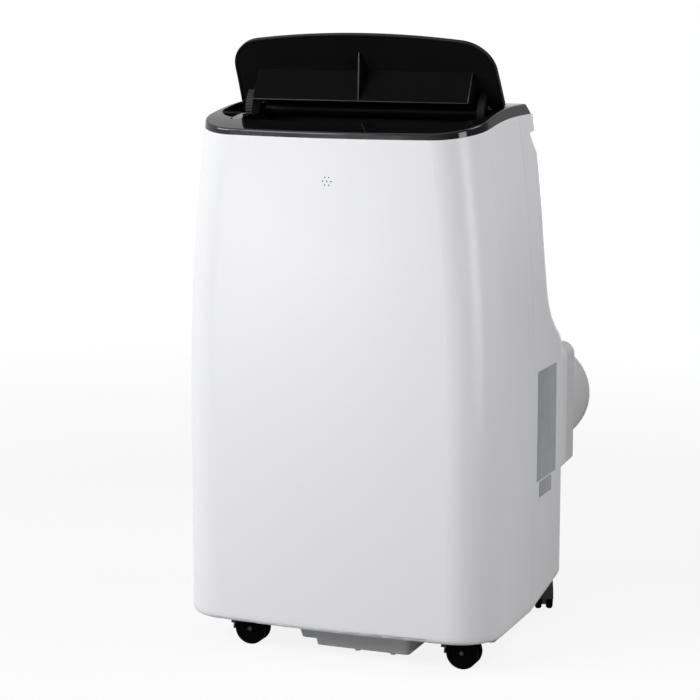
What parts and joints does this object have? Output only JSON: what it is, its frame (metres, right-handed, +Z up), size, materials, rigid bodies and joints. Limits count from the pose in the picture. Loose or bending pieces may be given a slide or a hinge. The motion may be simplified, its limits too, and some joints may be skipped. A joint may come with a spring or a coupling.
{
  "type": "portable air conditioner",
  "caption": "Portable room air conditioner on casters: bowed white cabinet, sloping black top with a motor-tilted outlet lid, control panel and rear exhaust collar.",
  "frame": {"origin": "centre of the bounding box on the floor, under the casters", "axes": "+Z up, -Y towards the bowed front, +X towards the right side seen from the front"},
  "size_m": [0.467, 0.518, 0.8673],
  "materials": {
    "shell_white": "satin moulded white plastic",
    "deck_black": "polished black plastic",
    "panel_black": "mirror-smooth black panel",
    "button_black": "satin black button caps",
    "outlet_black": "matte black plastic",
    "gear_black": "smooth black gear plastic",
    "pinion_white": "natural white gear plastic",
    "sump_grey": "grey moulded plastic",
    "adapter_grey": "grey moulded plastic",
    "caster_black": "black caster plastic",
    "caster_tread": "black wheel tread",
    "inner_grey": "grey inner moulding",
    "fan_black": "black fan plastic",
    "motor_metal": "zinc-grey motor can",
    "coil_aluminium": "bare fin stock",
    "vessel_black": "black painted steel",
    "pipe_copper": "bare copper pipe",
    "rubber_black": "soft black rubber",
    "box_metal": "galvanised sheet",
    "board_green": "green circuit board",
    "fitting_black": "black fitting plastic",
    "filter_grey": "grey filter net",
    "screw_steel": "zinc-plated screw"
  },
  "bodies": {
    "cabinet": {"base_tray": "shell_white", "base_sump": "sump_grey", "front_shell": "shell_white", "rear_shell": "shell_white", "shell_screws": "screw_steel", "top_deck": "deck_black", "outlet_duct": "outlet_black", "control_panel": "panel_black", "control_board": "board_green", "lid_motor": "motor_metal", "sounder": "fitting_black", "partition": "inner_grey", "evaporator": "coil_aluminium", "condenser": "coil_aluminium", "compressor": "vessel_black", "compressor_feet": "rubber_black", "accumulator": "vessel_black", "suction_pipe": "pipe_copper", "discharge_pipe": "pipe_copper", "electrical_box": "box_metal", "condenser_grille": "shell_white", "hose_adapter": "adapter_grey", "cord_gland": "fitting_black", "upper_scroll": "inner_grey", "upper_fan_motor": "motor_metal", "lower_scroll": "inner_grey", "lower_fan_motor": "motor_metal"},
    "lid": {"lid_cover": "deck_black", "lid_liner": "outlet_black", "lid_gear": "gear_black", "lid_guide": "gear_black"},
    "pinion": {"lid_pinion": "pinion_white"},
    "vane_1": {"vane_1": "outlet_black"},
    "vane_2": {"vane_2": "outlet_black"},
    "vane_3": {"vane_3": "outlet_black"},
    "vane_4": {"vane_4": "outlet_black"},
    "vane_5": {"vane_5": "outlet_black"},
    "vane_6": {"vane_6": "outlet_black"},
    "vane_tie": {"vane_link": "outlet_black"},
    "upper_fan": {"upper_wheel": "fan_black"},
    "lower_fan": {"lower_wheel": "fan_black"},
    "button_1": {"button_1": "button_black"},
    "button_2": {"button_2": "button_black"},
    "button_3": {"button_3": "button_black"},
    "button_4": {"button_4": "button_black"},
    "button_5": {"button_5": "button_black"},
    "filter_frame": {"intake_grille": "shell_white", "filter_mesh": "filter_grey"},
    "drain_plug_upper": {"drain_plug_upper": "rubber_black"},
    "drain_plug_lower": {"drain_plug_lower": "rubber_black"},
    "caster_fork_front_left": {"caster_fork_front_left": "caster_black"},
    "caster_wheels_front_left": {"caster_wheels_front_left": "caster_tread"},
    "caster_fork_front_right": {"caster_fork_front_right": "caster_black"},
    "caster_wheels_front_right": {"caster_wheels_front_right": "caster_tread"},
    "caster_fork_rear_left": {"caster_fork_rear_left": "caster_black"},
    "caster_wheels_rear_left": {"caster_wheels_rear_left": "caster_tread"},
    "caster_fork_rear_right": {"caster_fork_rear_right": "caster_black"},
    "caster_wheels_rear_right": {"caster_wheels_rear_right": "caster_tread"}
  },
  "joints": [
    {"name": "lid_hinge", "type": "hinge", "parent": "cabinet", "child": "lid", "pos_m": [0, -0.0945, 0.7575], "axis": [1, 0, 0], "range_deg": [0, 67]},
    {"name": "pinion_spin", "type": "hinge", "parent": "cabinet", "child": "pinion", "pos_m": [-0.1735, -0.13034, 0.73241], "axis": [1, 0, 0], "range_deg": [-268, 0]},
    {"name": "vane_1_turn", "type": "hinge", "parent": "cabinet", "child": "vane_1", "pos_m": [-0.13625, -0.15, 0.668], "axis": [0, 1, 0], "range_deg": [-20, 20]},
    {"name": "vane_2_turn", "type": "hinge", "parent": "cabinet", "child": "vane_2", "pos_m": [-0.08175, -0.15, 0.668], "axis": [0, 1, 0], "range_deg": [-20, 20]},
    {"name": "vane_3_turn", "type": "hinge", "parent": "cabinet", "child": "vane_3", "pos_m": [-0.02725, -0.15, 0.668], "axis": [0, 1, 0], "range_deg": [-20, 20]},
    {"name": "vane_4_turn", "type": "hinge", "parent": "cabinet", "child": "vane_4", "pos_m": [0.02725, -0.15, 0.668], "axis": [0, 1, 0], "range_deg": [-20, 20]},
    {"name": "vane_5_turn", "type": "hinge", "parent": "cabinet", "child": "vane_5", "pos_m": [0.08175, -0.15, 0.668], "axis": [0, 1, 0], "range_deg": [-20, 20]},
    {"name": "vane_6_turn", "type": "hinge", "parent": "cabinet", "child": "vane_6", "pos_m": [0.13625, -0.15, 0.668], "axis": [0, 1, 0], "range_deg": [-20, 20]},
    {"name": "vane_tie_slide", "type": "slide", "parent": "cabinet", "child": "vane_tie", "axis": [1, 0, 0], "range_m": [-0.0113, 0.0113]},
    {"name": "upper_fan_spin", "type": "hinge", "parent": "cabinet", "child": "upper_fan", "pos_m": [-0.015, -0.151, 0.517], "axis": [0, 1, 0], "continuous": true},
    {"name": "lower_fan_spin", "type": "hinge", "parent": "cabinet", "child": "lower_fan", "pos_m": [0.146, -0.07, 0.207], "axis": [1, 0, 0], "continuous": true},
    {"name": "button_1_press", "type": "slide", "parent": "cabinet", "child": "button_1", "axis": [0, 0, 1], "range_m": [-0.0008, 0], "stiffness_N_per_m": 600, "springref_m": 0.0003},
    {"name": "button_2_press", "type": "slide", "parent": "cabinet", "child": "button_2", "axis": [0, 0, 1], "range_m": [-0.0008, 0], "stiffness_N_per_m": 600, "springref_m": 0.0003},
    {"name": "button_3_press", "type": "slide", "parent": "cabinet", "child": "button_3", "axis": [0, 0, 1], "range_m": [-0.0008, 0], "stiffness_N_per_m": 600, "springref_m": 0.0003},
    {"name": "button_4_press", "type": "slide", "parent": "cabinet", "child": "button_4", "axis": [0, 0, 1], "range_m": [-0.0008, 0], "stiffness_N_per_m": 600, "springref_m": 0.0003},
    {"name": "button_5_press", "type": "slide", "parent": "cabinet", "child": "button_5", "axis": [0, 0, 1], "range_m": [-0.0008, 0], "stiffness_N_per_m": 600, "springref_m": 0.0003},
    {"name": "filter_pull", "type": "slide", "parent": "cabinet", "child": "filter_frame", "axis": [0, 1, 0], "range_m": [0, 0.06]},
    {"name": "drain_plug_upper_pull", "type": "slide", "parent": "cabinet", "child": "drain_plug_upper", "axis": [0, 1, 0], "range_m": [0, 0.03]},
    {"name": "drain_plug_lower_pull", "type": "slide", "parent": "cabinet", "child": "drain_plug_lower", "axis": [0, 1, 0], "range_m": [0, 0.03]},
    {"name": "caster_swivel_front_left", "type": "hinge", "parent": "cabinet", "child": "caster_fork_front_left", "pos_m": [-0.16, -0.209, 0.055], "axis": [0, 0, 1], "continuous": true},
    {"name": "caster_roll_front_left", "type": "hinge", "parent": "caster_fork_front_left", "child": "caster_wheels_front_left", "pos_m": [-0.136, -0.209, 0.023], "axis": [0, 1, 0], "continuous": true},
    {"name": "caster_swivel_front_right", "type": "hinge", "parent": "cabinet", "child": "caster_fork_front_right", "pos_m": [0.16, -0.209, 0.055], "axis": [0, 0, 1], "continuous": true},
    {"name": "caster_roll_front_right", "type": "hinge", "parent": "caster_fork_front_right", "child": "caster_wheels_front_right", "pos_m": [0.184, -0.209, 0.023], "axis": [0, 1, 0], "continuous": true},
    {"name": "caster_swivel_rear_left", "type": "hinge", "parent": "cabinet", "child": "caster_fork_rear_left", "pos_m": [-0.209, 0.091, 0.055], "axis": [0, 0, 1], "continuous": true},
    {"name": "caster_roll_rear_left", "type": "hinge", "parent": "caster_fork_rear_left", "child": "caster_wheels_rear_left", "pos_m": [-0.18645, 0.09921, 0.023], "axis": [-0.342, 0.9397, 0], "continuous": true},
    {"name": "caster_swivel_rear_right", "type": "hinge", "parent": "cabinet", "child": "caster_fork_rear_right", "pos_m": [0.209, 0.091, 0.055], "axis": [0, 0, 1], "continuous": true},
    {"name": "caster_roll_rear_right", "type": "hinge", "parent": "caster_fork_rear_right", "child": "caster_wheels_rear_right", "pos_m": [0.20001, 0.11325, 0.023], "axis": [-0.9272, -0.3746, 0], "continuous": true}
  ],
  "couplings": [
    {"joint": "pinion_spin", "follows": "lid_hinge", "ratio": -4},
    {"joint": "vane_2_turn", "follows": "vane_1_turn", "ratio": 1},
    {"joint": "vane_3_turn", "follows": "vane_1_turn", "ratio": 1},
    {"joint": "vane_4_turn", "follows": "vane_1_turn", "ratio": 1},
    {"joint": "vane_5_turn", "follows": "vane_1_turn", "ratio": 1},
    {"joint": "vane_6_turn", "follows": "vane_1_turn", "ratio": 1},
    {"joint": "vane_tie_slide", "follows": "vane_1_turn", "m_per_rad": 0.032}
  ]
}
